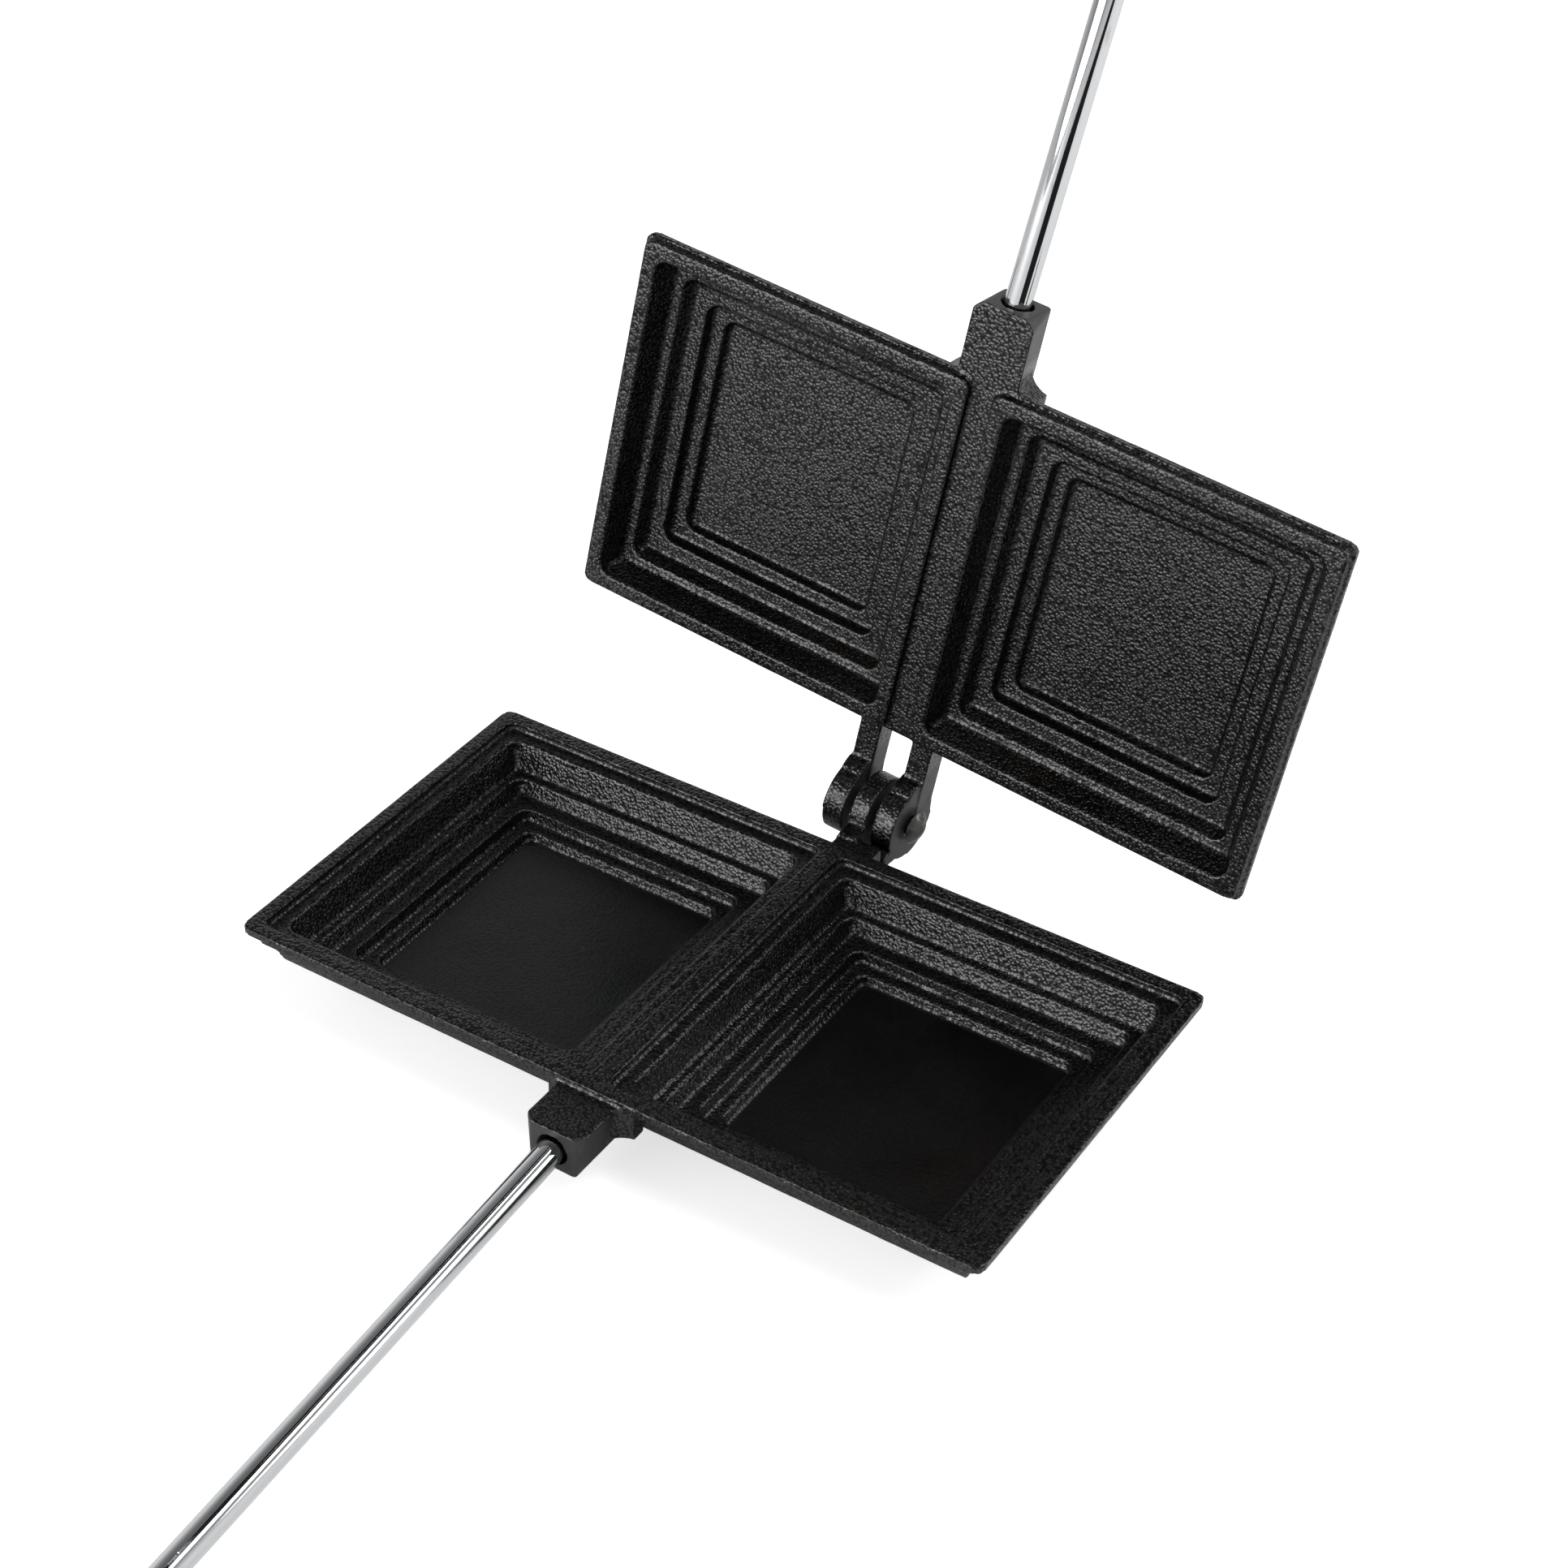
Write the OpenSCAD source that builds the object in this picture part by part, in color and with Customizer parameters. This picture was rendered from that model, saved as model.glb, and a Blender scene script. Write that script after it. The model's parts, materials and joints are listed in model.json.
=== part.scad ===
// Double square pie iron: two cast pans, hinged at the back, on long rods with wooden grips.
// Millimetres. +Z is up and -Y points along the lower rod to its grip. The origin is the
// centre of the lower pan's underside. The upper half is laid out in its closed place, and
// opened() swings it about the hinge pin to the open place where it rests on its heel.

/* [Pans] */
// Length of the lower pan across both squares
lower_w = 216; // [190:1:260]
// Depth of the lower pan from its rod edge to its hinge edge
lower_d = 113; // [100:1:140]
// Width of the raised rim round the lower pan
rim_w = 4; // [3:0.2:6]
// Depth of the recess inside that rim
recess_h = 2.2; // [1.6:0.1:3]
// Width of the raised strip between the lower pan's squares
strip_w = 5.8; // [4:0.2:8]
// Flat land between the recess edge and the mouth of a lower square
lower_land = 3.8; // [3:0.2:6]
// Flat land between the outline of the upper pan and the mouth of a square
upper_land = 5.2; // [4:0.2:7]
// Radius of the outline's corners in plan
corner_r = 2.4; // [2:0.2:6]
// Thickness of the flange at the outline
flange_t = 2.2; // [1.8:0.2:4]
// How far the thicker plate under the flange is set in
plate_inset = 2.4; // [1.5:0.1:4]
// Wall thickness of the squares
wall_t = 3.4; // [2.6:0.2:5]

/* [Stepped squares] */
// Height of each of the four walls, from the mouth down
step_drop = [7.5, 4.2, 3.3, 2.5]; // [2:0.1:9]
// How far each wall leans in from its top to its foot
step_draft = [2.8, 1.9, 0.8, 1]; // [0.4:0.1:3]
// Width of the ledge at the foot of each wall but the last
ledge_w = [2.3, 4.2, 3.4]; // [1.5:0.1:5]
// Radius of the corners of each step
step_r = 4; // [2.5:0.5:6]

/* [Fit of the halves] */
// Gap between the lower rim and the upper pan at the two sides
side_gap = 2.3; // [0.6:0.1:3]
// Gap between the lower rim and the upper pan at rod edge and hinge edge
end_gap = 0.5; // [0.4:0.1:2]
// Gap between the faces of the two halves when they are shut
shut_gap = 0.3; // [0.2:0.05:0.6]
// Gap on each side of the strip in the channel of the upper pan
strip_gap = 0.6; // [0.4:0.1:1.2]
// Width of the thin flange outside the ridges of the upper pan
ridge_inset = 1; // [0.6:0.1:1.6]

/* [Hinge] */
// Distance from the lower pan's hinge edge to the pin
pin_out = 19.3; // [17:0.1:24]
// Depth of the pin below the plane where the halves meet
pin_drop = 0.4; // [0.2:0.1:3]
// Diameter of the pin's shank
pin_d = 5; // [4:0.1:6]
// Diameter of the pin's domed heads
pin_head_d = 9.6; // [8:0.2:12]
// Height of the pin's domed heads
pin_head_h = 2.4; // [1.5:0.1:3.5]
// Play between the left head and its ear
pin_play = 0.4; // [0.2:0.1:1]
// Play between the right head, which was struck on later, and its ear
pin_slack = 1.4; // [0.2:0.1:2.5]
// Running clearance round the pin in the middle knuckle
pin_run = 0.07; // [0.03:0.01:0.1]
// Clearance round the pin in the ears, which it turns with
pin_fit = 0.02; // [0.01:0.01:0.05]
// Degrees by which the pin leans back at its left end
pin_yaw = -2.8; // [-4:0.1:4]
// Degrees by which the pin droops at its right end
pin_droop = 3.2; // [-4:0.1:4]
// Radius of the knuckles
knuckle_r = 10; // [8.5:0.5:11]
// Width of the lower pan's middle knuckle
knuckle_w = 5.4; // [5:0.2:8]
// Gap between the middle knuckle and each ear
knuckle_gap = 2; // [1.5:0.1:3]
// Width of each ear of the upper pan
ear_w = 6.3; // [5:0.1:9]
// Thickness of each ear's arm
ear_t = 8.5; // [6:0.5:9]
// Gap between the right ear's heel and the lower web at rest
heel_gap = 0.3; // [0.2:0.05:0.6]
// Degrees that the upper half has swung open from shut
open_angle = 98.8; // [90:0.1:105]

/* [Rods] */
// Diameter of the rods
rod_d = 7; // [6:0.1:8]
// Length of rod between the boss and the grip's ferrule
rod_reach = 430; // [300:5:560]
// Length of rod seated in a boss
rod_seat = 17; // [12:1:18]
// Clearance round the rod in its seat
rod_fit = 0.03; // [0.01:0.01:0.1]
// Width of the loose mouth of the bore round the rod
bore_mouth_gap = 0.7; // [0.4:0.1:1]
// Depth of that loose mouth
bore_mouth_l = 5; // [3:0.5:8]
// Degrees by which the lower rod points to the right
lower_yaw = 3; // [-3:0.1:4]
// Degrees by which the upper rod points to the right
upper_yaw = 1.1; // [-3:0.1:4]
// Degrees by which the upper rod rises from the lower one when shut
upper_rise = 2.8; // [1.5:0.1:6]
// Length of the lower boss from the pan's edge
lower_boss_l = 15; // [12:0.5:22]
// Length of the upper boss from the pan's edge
upper_boss_l = 19.5; // [14:0.5:24]
// Width of the bosses at the face where the halves meet
boss_w = 17.2; // [15:0.2:20]
// Width of the bosses at the outer face
boss_back_w = 13.4; // [12:0.2:16]
// Thickness of the bosses
boss_t = 12.5; // [11.5:0.1:15]
// How far the lower boss lies below the rim
boss_step = 1.9; // [1:0.1:3]
// Radius of the concave flare where a boss meets its pan
flare_r = 6; // [3:0.5:7]
// Chamfer at the corners of a boss's end
boss_chamfer = 2.2; // [1:0.1:3]

/* [Grips] */
// Length of a grip without its tenon
grip_l = 112; // [90:1:130]
// Largest diameter of a grip
grip_d = 24; // [20:0.5:26]
// Diameter of a grip at its shoulders
grip_end_d = 19; // [17:0.5:20]
// Diameter of the tenon that the ferrule covers
tenon_d = 15.4; // [13:0.2:16]
// Length of that tenon
tenon_l = 12; // [8:1:16]
// Wall of the ferrule
ferrule_t = 1; // [0.6:0.1:1.5]
// Clearance round the tenon and the rod in the grip
grip_fit = 0.05; // [0.02:0.01:0.1]
// Diameter of the rod's threaded tip
tip_d = 5.9; // [4.5:0.1:6]
// Diameter of the end washer
washer_d = 14; // [11:0.5:16]
// Thickness of the end washer
washer_t = 1.2; // [0.8:0.1:2]
// Width across the flats of the cap nut
nut_af = 10; // [8:0.5:13]
// Height of the nut's hexagon
nut_h = 5; // [4:0.5:7]

/* [Hidden] */
$fn = 64;

function total(list, count) = count == 0 ? 0 : list[count - 1] + total(list, count - 1);

steps = len(step_drop);
well_h = total(step_drop, steps);
rim_z = recess_h + well_h + wall_t;
over = 1;

upper_w = lower_w - 2 * (rim_w + side_gap);
upper_d = lower_d - 2 * (rim_w + end_gap);
shut_z = rim_z + shut_gap;
lower_mouth_x = strip_w / 2 + lower_land;
upper_mouth_x = strip_w / 2 + strip_gap + lower_land;

pin_y = lower_d / 2 + pin_out;
pin_dir = [cos(pin_droop) * cos(pin_yaw), cos(pin_droop) * sin(pin_yaw), -sin(pin_droop)];
ear_x = knuckle_w / 2 + knuckle_gap;
ears_w = 2 * (ear_x + ear_w);
ear_neck_r = 7;
ear_neck_out = 5.5;
ear_neck_up = 2;
web_gap = 2.3;
web_y = knuckle_r + web_gap;
web_bottom = 10;
web_step = 0.4;
web_short = 1;
web_left = -knuckle_w / 2;
web_w = knuckle_w / 2 + ear_x + ear_w - web_short;
heel_top = 4;
heel_bottom = 8;

bore_end_gap = 2;
rod_bore_l = rod_seat + bore_end_gap;
bore_low = 0.3;
bore_drop = boss_t / 2 + bore_low;
flare_back = 3;
grip_start = rod_reach + ferrule_t + tenon_l;
grip_end = grip_start + grip_l;
grip_round = 4;
grip_gap = 0.1;
tip_inside = 2;
tip_start = grip_end - tip_inside;
tip_end = grip_end + washer_t + nut_h;
hex_d = nut_af / cos(30);

iron = "#1c1c1e";
chrome = "#c9ccd1";
steel = "#8d9096";
wood = "#8a5a33";

// ---- shared shapes ----

// Rectangle with round corners
module rounded(w, d, r) {
    square([w - 2 * r, d], center = true);
    square([w, d - 2 * r], center = true);
    for (x = [-1, 1], y = [-1, 1])
        translate([x * (w / 2 - r), y * (d / 2 - r)]) circle(r);
}

module plate(w, d, r, z_low, z_high) {
    translate([0, 0, z_low]) linear_extrude(z_high - z_low) rounded(w, d, r);
}

// Block whose four sides lean in by draft from z = 0 down to -h
module drafted_block(w, d, h, draft, r) {
    intersection() {
        plate(w, d, r, -h, 0);
        rotate([90, 0, 0]) linear_extrude(d, center = true)
            polygon([[-w / 2, 0], [w / 2, 0], [w / 2 - draft, -h], [-w / 2 + draft, -h]]);
        rotate([90, 0, 90]) linear_extrude(w, center = true)
            polygon([[-d / 2, 0], [d / 2, 0], [d / 2 - draft, -h], [-d / 2 + draft, -h]]);
    }
}

// Nest of drafted blocks, one below another, from a mouth of w by d at z = 0
module stepped_block(w, d) {
    for (i = [0 : steps - 1]) {
        inset = total(step_draft, i) + total(ledge_w, i);
        translate([0, 0, -total(step_drop, i)])
            drafted_block(w - 2 * inset, d - 2 * inset, step_drop[i], step_draft[i], step_r);
    }
}

// Places its children at the middle of each square's mouth
module each_square(w, land, mouth_x) {
    for (side = [-1, 1])
        translate([side * (w / 2 - land + mouth_x) / 2, 0, 0]) children();
}

// One pan with its open side up and the plane where the halves meet at z = 0.
// mouth_z is the height of the squares' mouths and land their distance from the outline.
module pan_shell(w, d, land, mouth_x, mouth_z) {
    mouth_w = w / 2 - land - mouth_x;
    mouth_d = d - 2 * land;
    difference() {
        union() {
            plate(w, d, corner_r, -flange_t, 0);
            plate(w - 2 * plate_inset, d - 2 * plate_inset, corner_r,
                min(mouth_z, 0) - wall_t, -flange_t / 2);
            if (mouth_z > 0)
                each_square(w, ridge_inset, upper_mouth_x - lower_land)
                    plate(w / 2 - ridge_inset - upper_mouth_x + lower_land,
                        d - 2 * ridge_inset, corner_r, -flange_t / 2, mouth_z);
            each_square(w, land, mouth_x)
                translate([0, 0, mouth_z - wall_t])
                    stepped_block(mouth_w + 2 * wall_t, mouth_d + 2 * wall_t);
        }
        each_square(w, land, mouth_x)
            translate([0, 0, mouth_z]) {
                stepped_block(mouth_w, mouth_d);
                plate(mouth_w, mouth_d, step_r, 0, over);
            }
        if (mouth_z < 0)
            each_square(w, rim_w, strip_w / 2)
                plate(w / 2 - rim_w - strip_w / 2, d - 2 * rim_w, corner_r, mouth_z, over);
    }
}

// Boss that holds a rod, from the rod edge of a pan of depth d, with its top at z = 0
module boss(d, length) {
    inside = 5;
    edge = -d / 2;
    tip = edge - length;
    intersection() {
        translate([0, 0, -boss_t]) linear_extrude(boss_t)
            polygon([[-boss_w / 2, edge + inside], [-boss_w / 2, tip + boss_chamfer],
                [-boss_w / 2 + boss_chamfer, tip], [boss_w / 2 - boss_chamfer, tip],
                [boss_w / 2, tip + boss_chamfer], [boss_w / 2, edge + inside]]);
        translate([0, edge + inside, 0]) rotate([90, 0, 0]) linear_extrude(length + inside)
            polygon([[-boss_w / 2, 0], [boss_w / 2, 0], [boss_back_w / 2, -boss_t],
                [-boss_back_w / 2, -boss_t]]);
    }
    flare_w = boss_back_w + 2 * flare_r;
    translate([0, 0, -boss_t + flare_back]) linear_extrude(boss_t - flare_back) difference() {
        translate([-flare_w / 2, edge - flare_r]) square([flare_w, flare_r + inside]);
        for (side = [-1, 1])
            translate([side * (flare_w / 2 + over), edge - flare_r]) circle(flare_r + over);
    }
}

// Places its children at a rod's bore, with z = 0 at the boss's end and +z along the rod
module at_bore(d, length, rise, yaw) {
    translate([0, -d / 2 - length, -bore_drop]) rotate([90 - rise, 0, yaw]) children();
}

module bore_cut() {
    translate([0, 0, -rod_bore_l]) cylinder(d = rod_d + 2 * rod_fit, h = rod_bore_l + over);
    translate([0, 0, -bore_mouth_l])
        cylinder(d = rod_d + 2 * bore_mouth_gap, h = bore_mouth_l + 4 * over);
}

// ---- places of the two halves ----

// Plane of the lower rim, with the lower half below it
module lower_place() {
    translate([0, 0, rim_z]) children();
}

// Plane that meets it, for the upper half, whose children are drawn with their open side up
module upper_place() {
    opened() translate([0, 0, shut_z]) mirror([0, 0, 1]) children();
}

module opened() {
    at_pin() rotate(a = -open_angle, v = pin_dir) from_pin() children();
}

module at_pin() {
    translate([0, pin_y, rim_z - pin_drop]) children();
}

module from_pin() {
    translate([0, -pin_y, -(rim_z - pin_drop)]) children();
}

// Frame on the pin's axis, with +x along the pin
module pin_frame() {
    at_pin() rotate([0, pin_droop, pin_yaw]) children();
}

// Cylinder along the pin from x_low to x_high
module along_pin(r, x_low, x_high) {
    translate([x_low, 0, 0]) rotate([0, 90, 0]) cylinder(r = r, h = x_high - x_low);
}

// Places its children at the boss's end of the lower rod, with +z along the rod
module on_lower_rod() {
    lower_place() translate([0, 0, -boss_step]) at_bore(lower_d, lower_boss_l, 0, lower_yaw)
        children();
}

// The same for the upper rod, which is drawn turned over
module on_upper_rod() {
    upper_place() at_bore(upper_d, upper_boss_l, -upper_rise, upper_yaw) children();
}

// ---- castings ----

module lower_pan() color(iron) {
    web_inside = 3;
    web_t = 3;
    web_lap = 1;
    difference() {
        union() {
            lower_place() {
                pan_shell(lower_w, lower_d, rim_w + lower_land, lower_mouth_x, -recess_h);
                translate([0, 0, -boss_step]) boss(lower_d, lower_boss_l);
            }
            at_pin() {
                translate([web_left, -pin_out - web_inside, -web_bottom])
                    cube([web_w, web_inside + pin_out - web_y - web_t + web_lap,
                        web_bottom - web_step]);
                translate([-knuckle_w / 2, -web_y - web_t, -web_bottom + 1.5 * web_step])
                    cube([knuckle_w, web_y + web_t, web_bottom]);
            }
            pin_frame() {
                translate([web_left, -web_y - web_t, -web_bottom + 2 * web_step])
                    cube([web_w, web_t, web_bottom - 5 * web_step]);
                along_pin(knuckle_r, -knuckle_w / 2, knuckle_w / 2);
            }
        }
        pin_frame() along_pin(pin_d / 2 + pin_run, -knuckle_w, knuckle_w);
        on_lower_rod() bore_cut();
    }
}

// Arm of one ear, from the upper pan to its knuckle, in the closed place
module ear_arm(x_low) {
    inside = 4.5;
    y_low = upper_d / 2 - inside;
    translate([x_low, y_low, shut_z]) cube([ear_w, pin_y - y_low, ear_t]);
}

// Knuckle of one ear, drawn out along its arm, in the pin's frame
module ear_knuckle(x_low) {
    along_pin(knuckle_r, x_low, x_low + ear_w);
    translate([0, -ear_neck_out, ear_neck_up]) along_pin(ear_neck_r, x_low, x_low + ear_w);
}

// Heel of the right ear, which stops the upper half against the web, in the pin's frame
module heel() {
    rotate([open_angle, 0, 0])
        translate([ear_x, -web_y + heel_gap, -heel_bottom])
            cube([ear_w, web_y - heel_gap, heel_bottom - heel_top]);
}

module upper_pan() color(iron) {
    difference() {
        union() {
            upper_place() {
                pan_shell(upper_w, upper_d, upper_land, upper_mouth_x, recess_h);
                boss(upper_d, upper_boss_l);
            }
            opened() for (x_low = [ear_x, -ear_x - ear_w]) {
                ear_arm(x_low);
                pin_frame() ear_knuckle(x_low);
            }
            opened() pin_frame() heel();
        }
        opened() pin_frame() along_pin(pin_d / 2 + pin_fit, -ears_w, ears_w);
        on_upper_rod() bore_cut();
    }
}

// ---- hinge pin ----

module pin_head() {
    ball_r = (pow(pin_head_d / 2, 2) + pow(pin_head_h, 2)) / (2 * pin_head_h);
    intersection() {
        translate([0, 0, pin_head_h - ball_r]) sphere(ball_r);
        cylinder(d = pin_head_d, h = pin_head_h);
    }
}

module hinge_pin() color(steel) {
    left = -ears_w / 2 - pin_play;
    right = ears_w / 2 + pin_slack;
    pin_frame() {
        along_pin(pin_d / 2, left, right);
        translate([left, 0, 0]) rotate([0, -90, 0]) pin_head();
        translate([right, 0, 0]) rotate([0, 90, 0]) pin_head();
    }
}

// ---- rods and grips, drawn along +z from the boss's end ----

module rod() color(chrome) {
    chamfer = 0.6;
    rotate_extrude() polygon([[0, -rod_seat], [rod_d / 2 - chamfer, -rod_seat],
        [rod_d / 2, -rod_seat + chamfer], [rod_d / 2, tip_start], [tip_d / 2, tip_start],
        [tip_d / 2, tip_end - chamfer], [tip_d / 2 - chamfer, tip_end], [0, tip_end]]);
}

module ferrule() color(steel) {
    outer_r = tenon_d / 2 + grip_fit + ferrule_t;
    lip = 0.8;
    rotate_extrude() polygon([[rod_d / 2 + pin_fit, rod_reach], [outer_r - lip, rod_reach],
        [outer_r, rod_reach + lip], [outer_r, grip_start - grip_gap],
        [tenon_d / 2 + grip_fit, grip_start - grip_gap],
        [tenon_d / 2 + grip_fit, rod_reach + ferrule_t],
        [rod_d / 2 + pin_fit, rod_reach + ferrule_t]]);
}

// Radius of the grip at a share t of its length: a swell between two rounded shoulders
function grip_r(t) = let(edge = min(t, 1 - t) * grip_l,
        swell = grip_end_d / 2 + (grip_d - grip_end_d) / 2 * pow(sin(180 * pow(t, 1.25)), 0.8))
    edge < grip_round
        ? swell - grip_round + sqrt(pow(grip_round, 2) - pow(grip_round - edge, 2)) : swell;

module grip() color(wood) {
    shares = [0, 0.006, 0.018, 0.036, 0.12, 0.24, 0.36, 0.48, 0.6, 0.72, 0.84, 0.92,
        0.964, 0.982, 0.994, 1];
    rotate_extrude() polygon(concat(
        [[rod_d / 2 + grip_fit, grip_start - tenon_l + grip_gap],
            [tenon_d / 2, grip_start - tenon_l + grip_gap], [tenon_d / 2, grip_start]],
        [for (t = shares)
            [max(grip_r(t), tenon_d / 2 + grip_gap), grip_start + t * grip_l]],
        [[rod_d / 2 + grip_fit, grip_end]]));
}

module end_washer() color(steel) {
    translate([0, 0, grip_end]) difference() {
        cylinder(d = washer_d, h = washer_t);
        translate([0, 0, -over]) cylinder(d = tip_d + 2 * grip_fit, h = washer_t + 2 * over);
    }
}

module cap_nut() color(steel) {
    dome_inset = 0.4;
    dome_r = nut_af / 2 - dome_inset;
    dome_sink = 0.5;
    corner = 0.8;
    tip_gap = 0.4;
    translate([0, 0, grip_end + washer_t]) difference() {
        union() {
            intersection() {
                cylinder(d = hex_d, h = nut_h, $fn = 6);
                cylinder(r1 = hex_d / 2 + nut_h - corner, r2 = hex_d / 2 - corner, h = nut_h);
            }
            translate([0, 0, nut_h - dome_sink]) intersection() {
                sphere(dome_r);
                cylinder(r = dome_r, h = dome_r);
            }
        }
        translate([0, 0, -over]) cylinder(d = tip_d + 2 * grip_fit, h = nut_h + tip_gap + over);
    }
}

lower_pan();
upper_pan();
opened() hinge_pin();
on_lower_rod() rod();  // lower_rod
on_upper_rod() rod();  // upper_rod
on_lower_rod() ferrule();  // lower_ferrule
on_upper_rod() ferrule();  // upper_ferrule
on_lower_rod() grip();  // lower_grip
on_upper_rod() grip();  // upper_grip
on_lower_rod() end_washer();  // lower_end_washer
on_upper_rod() end_washer();  // upper_end_washer
on_lower_rod() cap_nut();  // lower_cap_nut
on_upper_rod() cap_nut();  // upper_cap_nut
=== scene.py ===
"""Looks of a double square pie iron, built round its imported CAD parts.

The two pans become sand-cast iron: the CAD mesh is remeshed, its edges are softened and its skin
is made uneven, always inward. The pebbles on it come from the material. Rods and grips are turned
again at a fine resolution about the axes of their CAD parts, and the small steel parts get broken
edges. Lengths are in metres.
"""

import json
import math

import bpy
import numpy as np
from mathutils import Matrix, Vector, noise


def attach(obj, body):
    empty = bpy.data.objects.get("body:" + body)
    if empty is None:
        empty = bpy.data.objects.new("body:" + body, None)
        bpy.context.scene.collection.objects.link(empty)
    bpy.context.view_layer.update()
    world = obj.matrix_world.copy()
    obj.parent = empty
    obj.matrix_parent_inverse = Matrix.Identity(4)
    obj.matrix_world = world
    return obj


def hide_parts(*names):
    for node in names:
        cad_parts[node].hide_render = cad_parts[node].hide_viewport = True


MM = 0.001
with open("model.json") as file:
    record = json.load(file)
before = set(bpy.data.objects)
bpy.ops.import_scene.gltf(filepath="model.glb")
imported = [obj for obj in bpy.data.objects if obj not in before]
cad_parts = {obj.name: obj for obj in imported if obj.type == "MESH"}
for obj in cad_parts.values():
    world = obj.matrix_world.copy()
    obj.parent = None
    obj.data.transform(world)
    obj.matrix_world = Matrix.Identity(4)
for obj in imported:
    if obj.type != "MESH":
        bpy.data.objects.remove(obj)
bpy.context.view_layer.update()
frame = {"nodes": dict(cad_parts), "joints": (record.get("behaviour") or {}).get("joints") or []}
nodes = frame["nodes"]
scene = bpy.context.scene

LOWER, UPPER = "lower_half", "upper_half"
PAN_OF = {LOWER: "lower_pan", UPPER: "upper_pan"}

# The camera stands in front of the object and to its right, and looks down at it.
CAMERA_PLACE = Vector((0.3308, -0.5023, 0.5365))
CAMERA_FORWARD = Vector((-0.4208, 0.6755, -0.6055))
CAMERA_UP = Vector((-0.3398, 0.5015, 0.7956))
CAMERA_LENS = 72.3

# The world's strength at the horizon and overhead, and the heights between which it fades.
SKY_LOW, SKY_HIGH = 1.0, 0.18
SKY_FROM, SKY_TO = 0.05, 0.9
# The floor's own colour, and the light that it adds for the camera alone.
FLOOR_SHADE = 0.86
FLOOR_GLOW = 0.62
FLOOR_SIZE = 8

# Dark wedges on the floor fan out round this point, from the near distance to the far one.
ROD_FOOT = Vector((-0.002, 0.118, 0.0))
WEDGE_NEAR, WEDGE_FAR = 0.38, 1.1
WEDGE_SHADE = 0.02


# ---- camera, lights and stage ----

def make_camera():
    data = bpy.data.cameras.new("camera")
    data.sensor_width = 36
    data.lens = CAMERA_LENS
    data.clip_start, data.clip_end = 0.05, 50
    camera = bpy.data.objects.new("camera", data)
    scene.collection.objects.link(camera)
    forward = CAMERA_FORWARD.normalized()
    right = forward.cross(CAMERA_UP).normalized()
    up = right.cross(forward)
    turn = Matrix((right, up, -forward)).transposed().to_4x4()
    camera.matrix_world = Matrix.Translation(CAMERA_PLACE) @ turn
    scene.camera = camera


def area_light(name, place, target, size, power):
    data = bpy.data.lights.new(name, "AREA")
    data.shape = "RECTANGLE"
    data.size, data.size_y = size
    data.energy = power
    light = bpy.data.objects.new(name, data)
    scene.collection.objects.link(light)
    light.location = place
    light.rotation_mode = "QUATERNION"
    light.rotation_quaternion = (Vector(target) - Vector(place)).to_track_quat("-Z", "Y")


def plain_plane(name, width, depth):
    w, d = width / 2, depth / 2
    mesh = bpy.data.meshes.new(name)
    mesh.from_pydata([(-w, -d, 0), (w, -d, 0), (w, d, 0), (-w, d, 0)], [], [(0, 1, 2, 3)])
    made = bpy.data.objects.new(name, mesh)
    scene.collection.objects.link(made)
    return made


def reflection_card(name, start, end, facing, width, shade):
    """Card that only mirror-like surfaces see, as a studio uses beside chrome.

    Its middle line runs from start to end, and it faces the point facing.
    """
    start, end = Vector(start), Vector(end)
    along = (end - start).normalized()
    middle = (start + end) / 2
    towards = Vector(facing) - middle
    towards = (towards - along * towards.dot(along)).normalized()
    card = plain_plane(name, width, (end - start).length)
    turn = Matrix((along.cross(towards), along, towards)).transposed().to_4x4()
    card.matrix_world = Matrix.Translation(middle) @ turn
    mirrored_only(card, shade)


def mirrored_only(card, shade):
    """Hides a card from all but mirror-like surfaces and gives it an even shade."""
    card.visible_camera = False
    card.visible_diffuse = False
    card.visible_shadow = False
    card.visible_transmission = False
    nodes_of = Nodes(card.name)
    glow = nodes_of.add("ShaderNodeEmission")
    glow.inputs["Color"].default_value = (shade, shade, shade, 1)
    nodes_of.output(glow.outputs[0])
    card.data.materials.append(nodes_of.material)


def dark_wedge(name, first, last):
    """Dark card on the floor, seen only in mirror-like surfaces, as a wedge away from ROD_FOOT.

    It spans from one bearing to another, in degrees from +X, so that an upright rod over the
    foot mirrors it as a streak of even width.
    """
    corners = [(WEDGE_NEAR, first), (WEDGE_FAR, first), (WEDGE_FAR, last), (WEDGE_NEAR, last)]
    card = plain_plane(name, 1, 1)
    for vertex, (distance, bearing) in zip(card.data.vertices, corners):
        angle = math.radians(bearing)
        vertex.co = ROD_FOOT + distance * Vector((math.cos(angle), math.sin(angle), 0))
    mirrored_only(card, WEDGE_SHADE)


def make_world():
    """White cove: bright at the horizon and dim overhead."""
    world = bpy.data.worlds.new("studio")
    scene.world = world
    world.use_nodes = True
    made = Nodes.of_tree(world.node_tree)
    where = made.add("ShaderNodeSeparateXYZ")
    made.link(made.add("ShaderNodeTexCoord").outputs["Generated"], where.inputs[0])
    light = made.add("ShaderNodeBackground", Color=(0.985, 0.992, 1.0, 1))
    made.link(made.ramp(where.outputs["Z"], SKY_FROM, SKY_TO, SKY_LOW, SKY_HIGH),
              light.inputs["Strength"])
    seen = made.add("ShaderNodeBackground", Color=(1, 1, 1, 1))
    mix = made.add("ShaderNodeMixShader")
    made.link(made.add("ShaderNodeLightPath").outputs["Is Camera Ray"], mix.inputs[0])
    made.link(light.outputs[0], mix.inputs[1])
    made.link(seen.outputs[0], mix.inputs[2])
    out = made.add("ShaderNodeOutputWorld")
    made.link(mix.outputs[0], out.inputs["Surface"])


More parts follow.
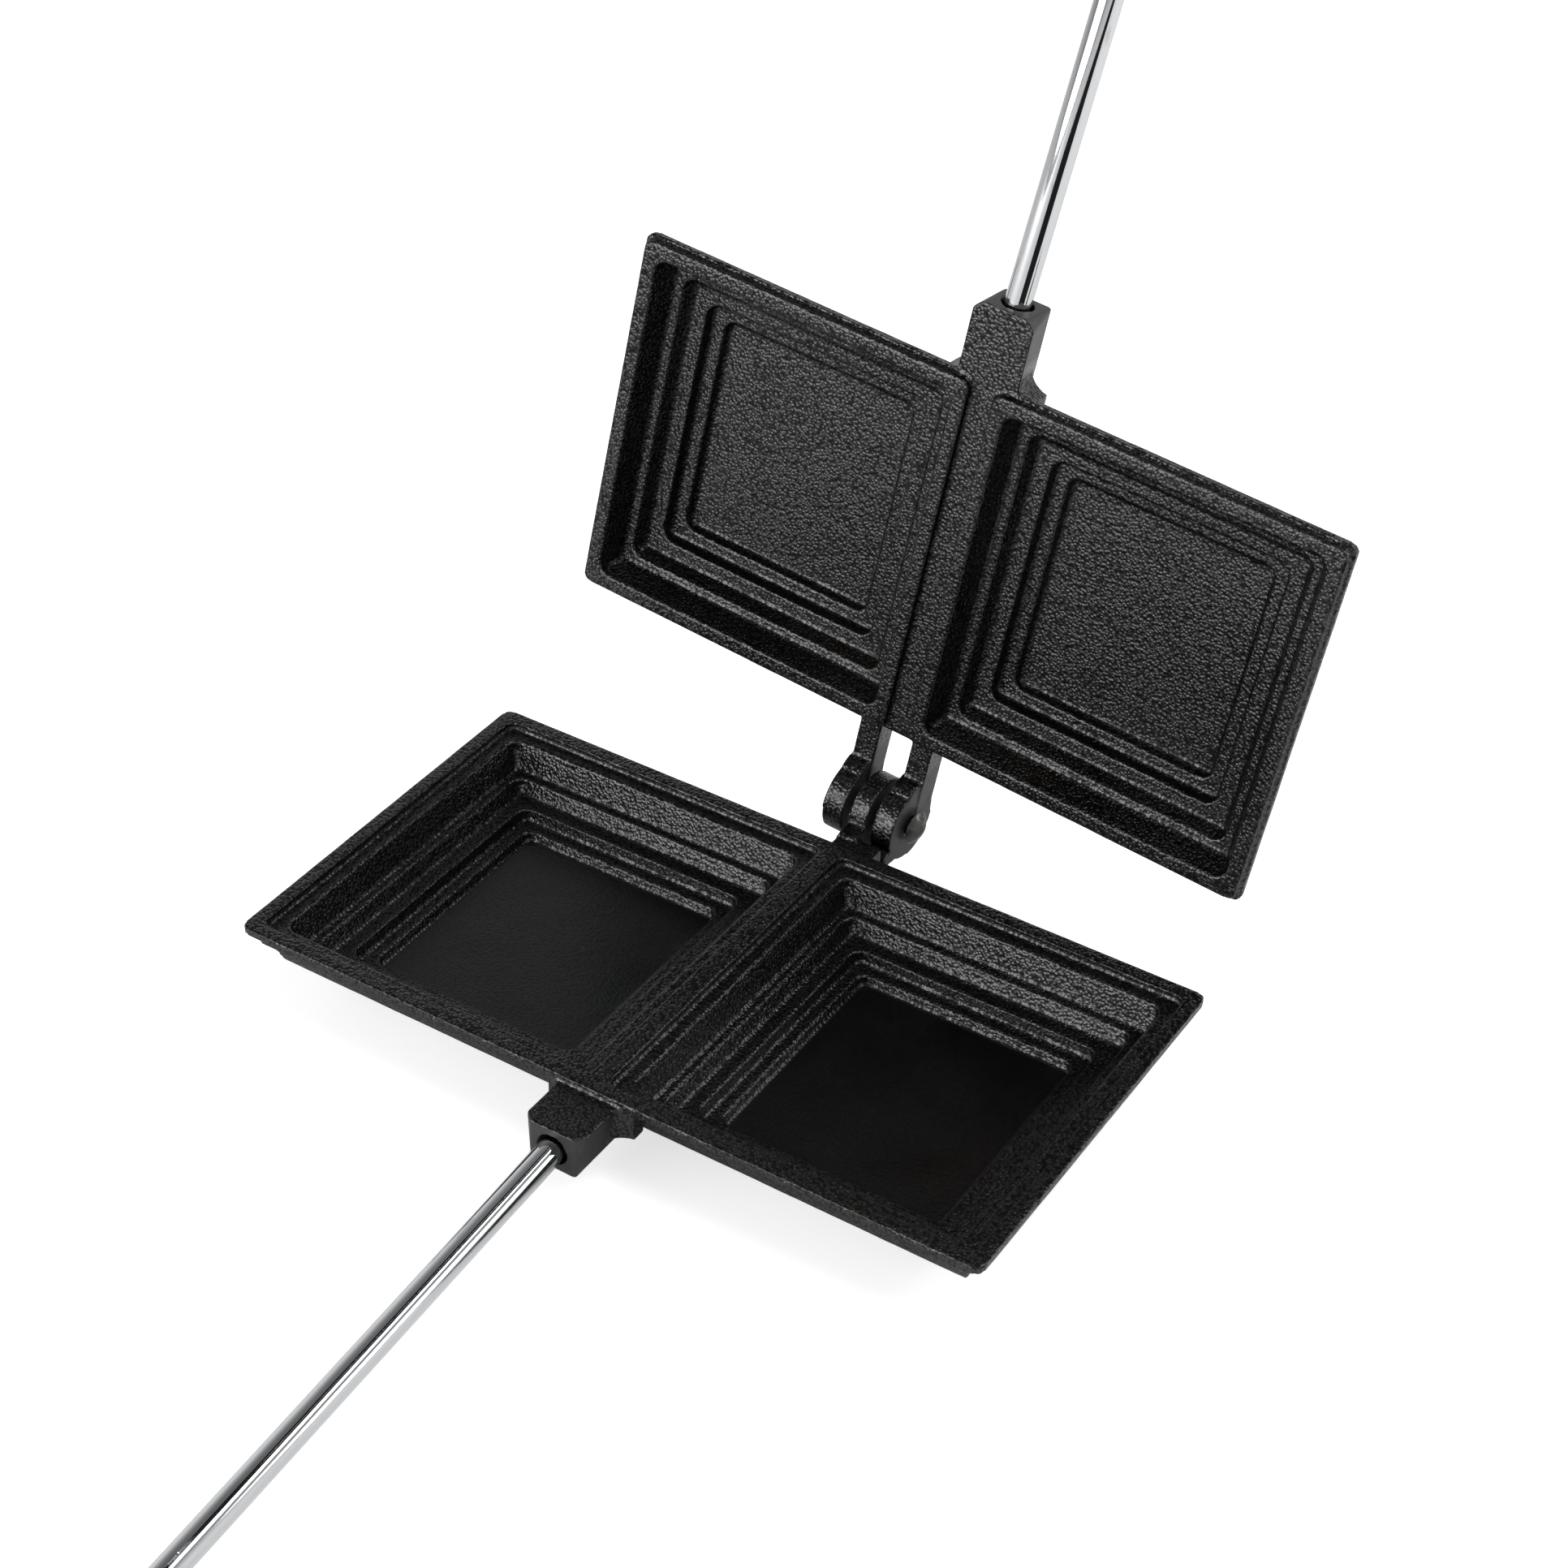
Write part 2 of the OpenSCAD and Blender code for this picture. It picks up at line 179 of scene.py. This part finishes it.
def make_floor():
    """Pale matt floor, just under the object, that keeps the object's shadow."""
    floor = plain_plane("floor", FLOOR_SIZE, FLOOR_SIZE)
    floor.location.z = -0.1 * MM
    made = Nodes("floor")
    matt = made.add("ShaderNodeBsdfDiffuse")
    matt.inputs["Color"].default_value = (FLOOR_SHADE, FLOOR_SHADE, FLOOR_SHADE, 1)
    glow = made.add("ShaderNodeEmission")
    path = made.add("ShaderNodeLightPath")
    made.link(made.math("MULTIPLY", path.outputs["Is Camera Ray"], FLOOR_GLOW),
              glow.inputs["Strength"])
    both = made.add("ShaderNodeAddShader")
    made.link(matt.outputs[0], both.inputs[0])
    made.link(glow.outputs[0], both.inputs[1])
    made.output(both.outputs[0])
    floor.data.materials.append(made.material)


# ---- material building ----

class Nodes:
    """A new material, with short calls for the shader nodes that the materials here use."""

    def __init__(self, name):
        self.material = bpy.data.materials.new(name)
        self.material.use_nodes = True
        self.use_tree(self.material.node_tree)

    @classmethod
    def of_tree(cls, tree):
        made = cls.__new__(cls)
        made.use_tree(tree)
        return made

    def use_tree(self, tree):
        self.tree = tree
        self.tree.nodes.clear()
        self.place = None

    def add(self, kind, **inputs):
        node = self.tree.nodes.new(kind)
        for name, value in inputs.items():
            node.inputs[name.replace("_", " ")].default_value = value
        return node

    def link(self, source, target):
        self.tree.links.new(source, target)

    def output(self, socket):
        out = self.add("ShaderNodeOutputMaterial")
        self.link(socket, out.inputs["Surface"])

    def coords(self, stretch=(1, 1, 1)):
        """Object coordinates, multiplied by stretch."""
        if self.place is None:
            self.place = self.add("ShaderNodeTexCoord").outputs["Object"]
        if stretch == (1, 1, 1):
            return self.place
        scaled = self.add("ShaderNodeMapping")
        scaled.inputs["Scale"].default_value = stretch
        self.link(self.place, scaled.inputs["Vector"])
        return scaled.outputs[0]

    def noise(self, size, detail=2.0, roughness=0.5, stretch=(1, 1, 1), distortion=0.0):
        """Noise from 0 to 1 whose grains are about size metres across."""
        made = self.add("ShaderNodeTexNoise", Scale=1 / size, Detail=detail,
                        Roughness=roughness, Distortion=distortion)
        self.link(self.coords(stretch), made.inputs["Vector"])
        return made.outputs[0]

    def cells(self, size, stretch=(1, 1, 1), feature="SMOOTH_F1"):
        """Distance from the middle of the nearest cell, of cells about size metres across."""
        made = self.add("ShaderNodeTexVoronoi", Scale=1 / size)
        made.feature = feature
        if feature == "SMOOTH_F1":
            made.inputs["Smoothness"].default_value = 0.6
        self.link(self.coords(stretch), made.inputs["Vector"])
        return made.outputs["Distance"]

    def math(self, operation, a, b):
        made = self.add("ShaderNodeMath")
        made.operation = operation
        for socket, value in zip(made.inputs, (a, b)):
            if isinstance(value, (int, float)):
                socket.default_value = value
            else:
                self.link(value, socket)
        return made.outputs[0]

    def ramp(self, value, low, high, start=0.0, end=1.0):
        """value from low..high brought smoothly to start..end."""
        made = self.add("ShaderNodeMapRange")
        made.interpolation_type = "SMOOTHSTEP"
        for name, number in (("From Min", low), ("From Max", high), ("To Min", start),
                             ("To Max", end)):
            made.inputs[name].default_value = number
        self.link(value, made.inputs["Value"])
        return made.outputs[0]

    def blend(self, factor, a, b):
        """Colour a where factor is 0 and b where it is 1."""
        made = self.add("ShaderNodeMix")
        made.data_type = "RGBA"
        self.link(factor, made.inputs["Factor"])
        for socket, value in ((made.inputs[6], a), (made.inputs[7], b)):
            if isinstance(value, tuple):
                socket.default_value = (*value, 1)
            else:
                self.link(value, socket)
        return made.outputs[2]

    def attribute(self, name):
        made = self.add("ShaderNodeAttribute")
        made.attribute_name = name
        return made.outputs["Fac"]

    def edges(self, low=0.5, high=0.56):
        """1 on the sharpest outer edges and 0 on flats and in hollows, from Pointiness."""
        return self.ramp(self.add("ShaderNodeNewGeometry").outputs["Pointiness"], low, high)

    def bump(self, height, distance, strength=1.0, under=None):
        made = self.add("ShaderNodeBump", Distance=distance)
        if isinstance(strength, (int, float)):
            made.inputs["Strength"].default_value = strength
        else:
            self.link(strength, made.inputs["Strength"])
        self.link(height, made.inputs["Height"])
        if under is not None:
            self.link(under, made.inputs["Normal"])
        return made.outputs[0]

    def surface(self, colour, roughness, normal, metallic=0.0, **numbers):
        shader = self.add("ShaderNodeBsdfPrincipled", Metallic=metallic, **numbers)
        self.shader = shader
        self.link(colour, shader.inputs["Base Color"])
        self.link(roughness, shader.inputs["Roughness"])
        self.link(normal, shader.inputs["Normal"])
        self.output(shader.outputs[0])
        return self.material


def cast_iron():
    """Seasoned sand-cast iron: pebbled and black, smoother where it was ground or scraped."""
    oil_black, oil_brown = (0.0006, 0.0006, 0.00065), (0.0022, 0.0014, 0.0009)
    # The first colour on the next line is the paler colour of the outer edges, partly wear and
    # partly a painted highlight; the second is that of ground faces.
    edge_wear_and_highlight, ground_face = (0.010, 0.010, 0.0105), (0.018, 0.018, 0.0185)
    calm_shine = 0.40
    made = Nodes("cast_iron")
    ground = made.attribute("ground")
    scraped = made.attribute("scraped")
    calm = made.math("SUBTRACT", 1.0, made.math(
        "MINIMUM", made.math("ADD", made.math("MULTIPLY", ground, 0.85),
                             made.math("MULTIPLY", scraped, 0.8)), 1.0))
    domes = made.math("MULTIPLY", made.cells(0.8 * MM), -1.0)
    pebble = made.math("ADD", domes, made.math("MULTIPLY", made.noise(0.6 * MM, 1.0), 0.35))
    waves = made.bump(pebble, 0.20 * MM, calm)
    skin = made.bump(made.noise(0.35 * MM, 2.0, 0.6), 0.05 * MM, 0.8, waves)
    patches = made.noise(38 * MM, 3.0, 0.6)
    brown = made.ramp(made.noise(55 * MM, 2.0, 0.5), 0.52, 0.75)
    oil = made.blend(brown, oil_black, oil_brown)
    # Paler outer edges: partly wear of the seasoning, partly a painted highlight.
    oil_with_worn_highlit_edges = made.blend(made.edges(0.52, 0.62), oil, edge_wear_and_highlight)
    colour = made.blend(ground, oil_with_worn_highlit_edges, ground_face)
    roughness = made.math("ADD", made.ramp(patches, 0.3, 0.7, 0.22, 0.30),
                          made.math("MULTIPLY", ground, 0.18))
    surface = made.surface(colour, roughness, skin, Specular_IOR_Level=calm_shine)
    # Painted shade: the hollows between pebbles get a lower specular level than their tops, in
    # place of the shade that falls in them.
    pebble_shine_with_painted_hollow_shade = made.math("MULTIPLY", made.ramp(pebble, -0.52, -0.18, 0.20, 0.58), calm)
    flat_shine = made.math("MULTIPLY", made.math("SUBTRACT", 1.0, calm), calm_shine)
    made.link(made.math("ADD", pebble_shine_with_painted_hollow_shade, flat_shine),
              made.shader.inputs["Specular IOR Level"])
    return surface


def chrome():
    """Plated drawn bar: long draw lines, fine pits and a few frosted patches."""
    plate, stained = (0.60, 0.61, 0.62), (0.40, 0.40, 0.40)
    made = Nodes("chrome")
    draw = made.noise(0.5 * MM, 2.0, 0.5, (1, 1, 0.004))
    swell = made.noise(5 * MM, 1.0, 0.5, (1, 1, 0.06))
    pits = made.ramp(made.cells(0.8 * MM, (1, 1, 0.6), "F1"), 0.0, 0.35)
    frost = made.ramp(made.noise(16 * MM, 3.0, 0.6, (1.6, 1.6, 0.35)), 0.55, 0.7)
    lines = made.bump(draw, 0.008 * MM, 0.5)
    bowed = made.bump(swell, 0.10 * MM, 0.6, lines)
    pitted = made.bump(pits, 0.03 * MM, made.ramp(frost, 0, 1, 0.02, 0.7), bowed)
    stain = made.ramp(made.noise(3 * MM, 3.0, 0.6, (1, 1, 0.2)), 0.62, 0.8)
    colour = made.blend(stain, plate, stained)
    roughness = made.ramp(frost, 0, 1, 0.045, 0.17)
    return made.surface(colour, roughness, pitted, 1.0)


def steel(name, light, dark, shine):
    """Bare steel with turned lines, handled bright on its edges. shine is its least roughness."""
    blotch_roughness = 0.15
    made = Nodes(name)
    turned = made.noise(0.35 * MM, 2.0, 0.6, (0.15, 0.15, 1))
    specks = made.noise(0.5 * MM, 3.0, 0.6)
    blotch = made.ramp(made.noise(4 * MM, 3.0, 0.6), 0.4, 0.7)
    colour = made.blend(made.edges(), made.blend(blotch, light, dark), light)
    lines = made.bump(turned, 0.02 * MM, 0.5)
    skin = made.bump(specks, 0.03 * MM, 0.5, lines)
    roughness = made.ramp(blotch, 0, 1, shine, shine + blotch_roughness)
    return made.surface(colour, roughness, skin, 1.0)


def turned_wood():
    """Turned hardwood: long grain and pores, under a thin lacquer."""
    pale, dark, fibre, pore = ((0.43, 0.20, 0.075), (0.24, 0.095, 0.032), (0.15, 0.055, 0.02),
                               (0.07, 0.028, 0.012))
    made = Nodes("turned_wood")
    rings = made.noise(5 * MM, 3.0, 0.6, (1, 1, 0.05), 0.6)
    fibres = made.noise(0.6 * MM, 3.0, 0.65, (1, 1, 0.025))
    pores = made.ramp(made.cells(0.7 * MM, (1, 1, 0.06), "F1"), 0.0, 0.28, 1, 0)
    base = made.blend(made.ramp(rings, 0.35, 0.65), pale, dark)
    grained = made.blend(made.ramp(fibres, 0.35, 0.7, 0, 0.45), base, fibre)
    colour = made.blend(made.math("MULTIPLY", pores, 0.5), grained, pore)
    cuts = made.noise(0.5 * MM, 1.0, 0.5, (0.02, 0.02, 1))
    ridges = made.bump(cuts, 0.012 * MM, 0.5)
    skin = made.bump(made.math("SUBTRACT", fibres, pores), 0.035 * MM, 0.6, ridges)
    roughness = made.ramp(rings, 0.3, 0.7, 0.34, 0.46)
    return made.surface(colour, roughness, skin, Coat_Weight=0.35, Coat_Roughness=0.18)


# ---- mesh helpers ----

def coordinates(mesh):
    flat = np.empty(len(mesh.vertices) * 3, np.float32)
    mesh.vertices.foreach_get("co", flat)
    return flat.reshape(-1, 3).astype(float)


def normals(mesh):
    flat = np.empty(len(mesh.vertices) * 3, np.float32)
    mesh.vertex_normals.foreach_get("vector", flat)
    return flat.reshape(-1, 3).astype(float)


def move_to(mesh, places):
    mesh.vertices.foreach_set("co", places.astype(np.float32).ravel())
    mesh.update()


def add_object(name, mesh, place=Matrix.Identity(4)):
    made = bpy.data.objects.new(name, mesh)
    scene.collection.objects.link(made)
    made.matrix_world = place
    return made


def apply_modifiers(made):
    """Gives the object the mesh that its modifiers make, and clears them."""
    bpy.context.view_layer.update()
    shown = made.evaluated_get(bpy.context.evaluated_depsgraph_get())
    mesh = bpy.data.meshes.new_from_object(shown)
    made.modifiers.clear()
    made.data = mesh


def modify(made, kind, **settings):
    modifier = made.modifiers.new(kind.lower(), kind)
    for name, value in settings.items():
        setattr(modifier, name, value)


def smooth_shading(mesh):
    mesh.polygons.foreach_set("use_smooth", [True] * len(mesh.polygons))


def stand_for(made, body, node, material):
    """made rides on body in place of a CAD node, with that material."""
    made.data.materials.clear()
    made.data.materials.append(material)
    smooth_shading(made.data)
    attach(made, body)
    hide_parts(node)


def store(mesh, name, values):
    """Keeps one value a vertex on the mesh, for a material to read."""
    layer = mesh.attributes.new(name, "FLOAT", "POINT")
    layer.data.foreach_set("value", values.astype(np.float32))


def ease(values, low, high):
    """values from low..high brought smoothly to 0..1."""
    t = np.clip((values - low) / (high - low), 0, 1)
    return t * t * (3 - 2 * t)


# ---- castings ----

VOXEL = 0.5 * MM
MOST_FACES = 192_000
HINGE = next(j for j in frame["joints"] if j["name"] == "lid_hinge")
PIN_PLACE = np.array(HINGE["pos_m"])
PIN_AXIS = np.array(HINGE["axis"]) / np.linalg.norm(HINGE["axis"])
OPEN_ANGLE = math.radians(HINGE["range_deg"][1])
KNUCKLE_R = 10 * MM
KNUCKLES_REACH = 14 * MM
FACET_DEPTH = 0.3 * MM

# The uneven skin: depth and size, in mm, of its broad swells and of its fine ones.
SWELL_DEPTH, SWELL_SIZE = 0.06, 9
RIPPLE_DEPTH, RIPPLE_SIZE = 0.025, 2.2


def closing_turn():
    """Matrix that swings the upper half about the pin to where it is when it is shut."""
    pin = Matrix.Translation(Vector(PIN_PLACE))
    return pin @ Matrix.Rotation(OPEN_ANGLE, 4, Vector(PIN_AXIS)) @ pin.inverted()


def round_knuckles(places):
    """Brings points on the faceted knuckles out to their true radius."""
    from_pin = places - PIN_PLACE
    along = from_pin @ PIN_AXIS
    radial = from_pin - along[:, None] * PIN_AXIS
    r = np.linalg.norm(radial, axis=1)
    near = (np.abs(r - KNUCKLE_R) < FACET_DEPTH) & (np.abs(along) < KNUCKLES_REACH)
    radial[near] *= (KNUCKLE_R / r[near])[:, None]
    return PIN_PLACE + along[:, None] * PIN_AXIS + radial


def grain(places, size, seed):
    """Smooth noise from -1 to 1 at each point, with grains about size across."""
    shift = Vector((seed * 3.1, seed * 1.7, seed * 2.3))
    return np.array([noise.noise(Vector(p) + shift) for p in places / size])


def cast_pan(body, seed):
    """Sand-cast pan in place of its CAD node, with softened edges and an uneven skin.

    The upper pan is worked on shut, where it lies square to the voxels, and then swung open.
    """
    node = PAN_OF[body]
    turn = Matrix.Identity(4) if body == LOWER else closing_turn()
    made = add_object(f"{node}_casting", nodes[node].data.copy())
    made.data.transform(turn)
    modify(made, "WELD", merge_threshold=0.001 * MM)
    modify(made, "REMESH", mode="VOXEL", voxel_size=VOXEL, adaptivity=0)
    apply_modifiers(made)
    move_to(made.data, round_knuckles(coordinates(made.data)))
    modify(made, "SMOOTH", factor=0.5, iterations=1)
    apply_modifiers(made)

    mesh = made.data
    places, facing = coordinates(mesh), normals(mesh)
    ground = ground_faces(places, facing)
    scraped = scraped_floors(places, facing, body)
    swells = SWELL_DEPTH * ease(grain(places, SWELL_SIZE * MM, seed), -0.8, 0.8)
    ripples = RIPPLE_DEPTH * ease(grain(places, RIPPLE_SIZE * MM, seed + 5), -0.6, 0.6)
    depth = (swells + ripples * (1 - 0.9 * ground) * (1 - 0.6 * scraped)) * MM
    move_to(mesh, places - facing * depth[:, None])
    triangles = 2 * len(mesh.polygons)
    if triangles > MOST_FACES:
        modify(made, "DECIMATE", ratio=MOST_FACES / triangles)
        apply_modifiers(made)
    places, facing = coordinates(made.data), normals(made.data)
    store(made.data, "ground", ground_faces(places, facing))
    store(made.data, "scraped", scraped_floors(places, facing, body))
    made.data.transform(turn.inverted())
    return made


# Each pair says where a kind of face begins and where it is fully reached: first by distance,
# then by how squarely a face looks along z or along the pin.
BOSS_FROM = (58 * MM, 60 * MM)
HINGE_FROM = (58 * MM, 61 * MM)
FLOOR_FROM = (-6 * MM, -4.5 * MM)
UPRIGHT = (0.55, 0.3)
LEVEL = (0.85, 0.95)
ACROSS_PIN = (0.8, 0.93)


def ground_faces(places, facing):
    """1 on the faces that a foundry grinds: sides and end of the boss, sides of the ears."""
    boss = ease(-places[:, 1], *BOSS_FROM)
    side = ease(np.abs(facing[:, 2]), *UPRIGHT)
    hinge = ease(places[:, 1], *HINGE_FROM)
    cheek = ease(np.abs(facing @ PIN_AXIS), *ACROSS_PIN)
    return np.maximum(boss * side, hinge * cheek)


def scraped_floors(places, facing, body):
    """1 on the floors of the lower squares, which are scraped smooth."""
    if body == UPPER:
        return np.zeros(len(places))
    return ease(facing[:, 2], *LEVEL) * ease(-places[:, 2], *FLOOR_FROM)


# ---- turned pieces ----

ROD_ROW = 2 * MM
ROD_SEED = {"lower": 7, "upper": 11}
DENT_WIDTH, DENT_LENGTH, DENT_DEPTH = 4 * MM, 60 * MM, 0.02 * MM
GRIP_ROWS = 120
BROKEN_EDGE = math.radians(35)
STEEL_EDGE, RIVET_EDGE = 0.2 * MM, 0.15 * MM


def turning_frame(half):
    """Matrix whose z runs along a half's rod, from the rod's seated end to its tip."""
    rod = coordinates(nodes[f"{half}_rod"].data)
    grip = coordinates(nodes[f"{half}_grip"].data)
    middle = rod.mean(0)
    axis = np.linalg.svd(rod - middle, full_matrices=False)[2][0]
    if (grip.mean(0) - middle) @ axis < 0:
        axis = -axis
    along = (rod - middle) @ axis
    radial = (rod - middle) - along[:, None] * axis
    middle = middle + (radial.max(0) + radial.min(0)) / 2
    z = Vector(axis)
    x = Vector((1, 0, 0)) - z * z.x
    x.normalize()
    turn = Matrix((x, z.cross(x), z)).transposed().to_4x4()
    return Matrix.Translation(Vector(middle + along.min() * axis)) @ turn


def outline(node, place):
    """Heights along the axis with the outer radius at each, and the bore's radius."""
    local = np.array(place.inverted())
    points = coordinates(nodes[node].data) @ local[:3, :3].T + local[:3, 3]
    heights = np.round(points[:, 2] / MM, 2)
    radii = np.hypot(points[:, 0], points[:, 1])
    levels = np.unique(heights)
    outer = np.array([radii[heights == level].max() for level in levels])
    return levels * MM, outer, radii.min()


def lathe(name, profile, place, segments=96):
    """Turned solid from (radius, height) points: a closed ring, or from axis to axis."""
    ring = profile[0][0] > 0
    angles = [2 * math.pi * i / segments for i in range(segments)]
    verts = [(r * math.cos(a), r * math.sin(a), z) for r, z in profile for a in angles]
    rows = len(profile) if ring else len(profile) - 1
    faces = []
    for row in range(rows):
        following = (row + 1) % len(profile)
        for i in range(segments):
            j = (i + 1) % segments
            faces.append((row * segments + i, row * segments + j,
                          following * segments + j, following * segments + i))
    mesh = bpy.data.meshes.new(name)
    mesh.from_pydata(verts, [], faces)
    made = add_object(name, mesh, place)
    modify(made, "WELD", merge_threshold=0.0005 * MM)
    apply_modifiers(made)
    return made


def rod(half, place):
    """Drawn bar whose skin is very slightly uneven."""
    heights, radii, _ = outline(f"{half}_rod", place)
    rows = [(0, heights[0])]
    for z0, r0, z1, r1 in zip(heights, radii, heights[1:], radii[1:]):
        count = max(1, int((z1 - z0) / ROD_ROW))
        rows += [(r0 + (r1 - r0) * i / count, z0 + (z1 - z0) * i / count)
                 for i in range(count)]
    rows += [(radii[-1], heights[-1]), (0, heights[-1])]
    made = lathe(f"{half}_rod_bar", rows, place)
    points = coordinates(made.data)
    spun = np.column_stack([points[:, :2] / DENT_WIDTH, points[:, 2] / DENT_LENGTH])
    dent = 0.5 + 0.5 * grain(spun, 1, ROD_SEED[half])
    shrink = 1 - dent * DENT_DEPTH / radii.max()
    points[:, :2] *= shrink[:, None]
    move_to(made.data, points)
    return made


def grip(half, place):
    """Turned grip with its CAD part's outline and a bore for the rod."""
    heights, radii, bore = outline(f"{half}_grip", place)
    shoulder = heights[np.argmax(radii > 1.02 * radii[0])]
    fine = np.linspace(shoulder, heights[-1], GRIP_ROWS)
    body = np.interp(fine, heights[heights >= shoulder], radii[heights >= shoulder])
    profile = [(bore, heights[0]), (radii[0], heights[0]), (radii[0], shoulder)]
    profile += list(zip(body, fine)) + [(bore, heights[-1])]
    return lathe(f"{half}_grip_wood", profile[::-1], place)


def softened(node, name, place, width):
    """Copy of a CAD part in its half's turning frame, with its edges broken."""
    mesh = nodes[node].data.copy()
    mesh.transform(place.inverted())
    made = add_object(name, mesh, place)
    modify(made, "WELD", merge_threshold=0.001 * MM)
    modify(made, "BEVEL", width=width, segments=3, limit_method="ANGLE",
           angle_limit=BROKEN_EDGE)
    apply_modifiers(made)
    return made


# ---- the scene ----

def build_half(half, body, materials, seed):
    iron, plated, satin, wood = materials
    pan = cast_pan(body, seed)
    stand_for(pan, body, PAN_OF[body], iron)
    place = turning_frame(half)
    stand_for(rod(half, place), body, f"{half}_rod", plated)
    stand_for(grip(half, place), body, f"{half}_grip", wood)
    for part in ("ferrule", "end_washer", "cap_nut"):
        node = f"{half}_{part}"
        made = softened(node, f"{node}_steel", place, STEEL_EDGE)
        stand_for(made, body, node, satin)


make_camera()
make_world()
make_floor()
area_light("top", place=(0.55, 0.45, 1.5), target=(0, 0, 0), size=(1.1, 1.1), power=19)
area_light("front", place=(-0.75, -1.60, 0.62), target=(0, 0, 0.05), size=(1.5, 1.1), power=19)
area_light("strip", place=(0.95, 0.75, 0.5), target=(0, -0.2, 0.05), size=(0.5, 0.35), power=3)
reflection_card("dark_card_high", start=(0.12, 0.3, 1.1), end=(0.2, 1.4, 1.1),
                facing=(0, -0.3, 0), width=0.5, shade=0.01)
reflection_card("softbox", start=(-0.72, -1.54, 0.06), end=(-0.72, -1.54, 1.16),
                facing=(0, 0, 0.6), width=1.6, shade=6.5)
dark_wedge("dark_wedge_left", first=-148, last=-116)
dark_wedge("dark_wedge_right", first=-66, last=-24)

satin_steel = {"light": (0.60, 0.61, 0.62), "dark": (0.42, 0.42, 0.43), "shine": 0.28}
dark_steel = {"light": (0.10, 0.098, 0.095), "dark": (0.035, 0.033, 0.03), "shine": 0.32}
shared = (cast_iron(), chrome(), steel("satin_steel", **satin_steel), turned_wood())
build_half("lower", LOWER, shared, seed=1)
build_half("upper", UPPER, shared, seed=2)
pin = softened("hinge_pin", "hinge_rivet", Matrix.Translation(Vector(PIN_PLACE)), RIVET_EDGE)
stand_for(pin, UPPER, "hinge_pin", steel("dark_steel", **dark_steel))

scene.view_settings.view_transform = "Standard"
